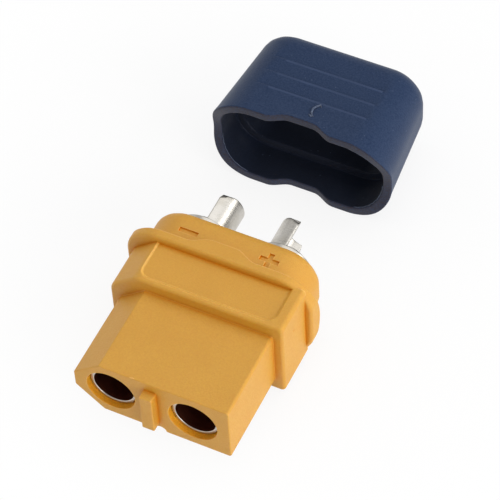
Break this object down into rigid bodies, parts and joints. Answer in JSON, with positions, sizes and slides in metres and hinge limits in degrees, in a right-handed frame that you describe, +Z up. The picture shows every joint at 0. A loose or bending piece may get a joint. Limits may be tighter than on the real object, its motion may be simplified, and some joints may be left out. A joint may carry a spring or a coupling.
{
  "type": "two-pole battery power connector",
  "caption": "Keyed power connector half with round sockets at the front, solder cups behind, and a slip-on cover over the cups.",
  "frame": {"origin": "centre of the flat mating face, midway between the two sockets", "axes": "+X from the negative to the positive contact, +Y from the mating face towards the cables, +Z up through the face with the polarity marks"},
  "size_m": [0.0166, 0.0386, 0.0094],
  "materials": {
    "housing_nylon": "matte moulded, fine grain",
    "contact_metal": "bright plated",
    "cover_nylon": "matte moulded, fine grain"
  },
  "bodies": {
    "housing": {"housing": "housing_nylon", "contact_neg": "contact_metal", "contact_pos": "contact_metal"},
    "cover": {"cover": "cover_nylon"}
  },
  "joints": [
    {"name": "cover_slide", "type": "slide", "parent": "housing", "child": "cover", "axis": [0, -1, 0], "range_m": [0, 0.0142]}
  ]
}
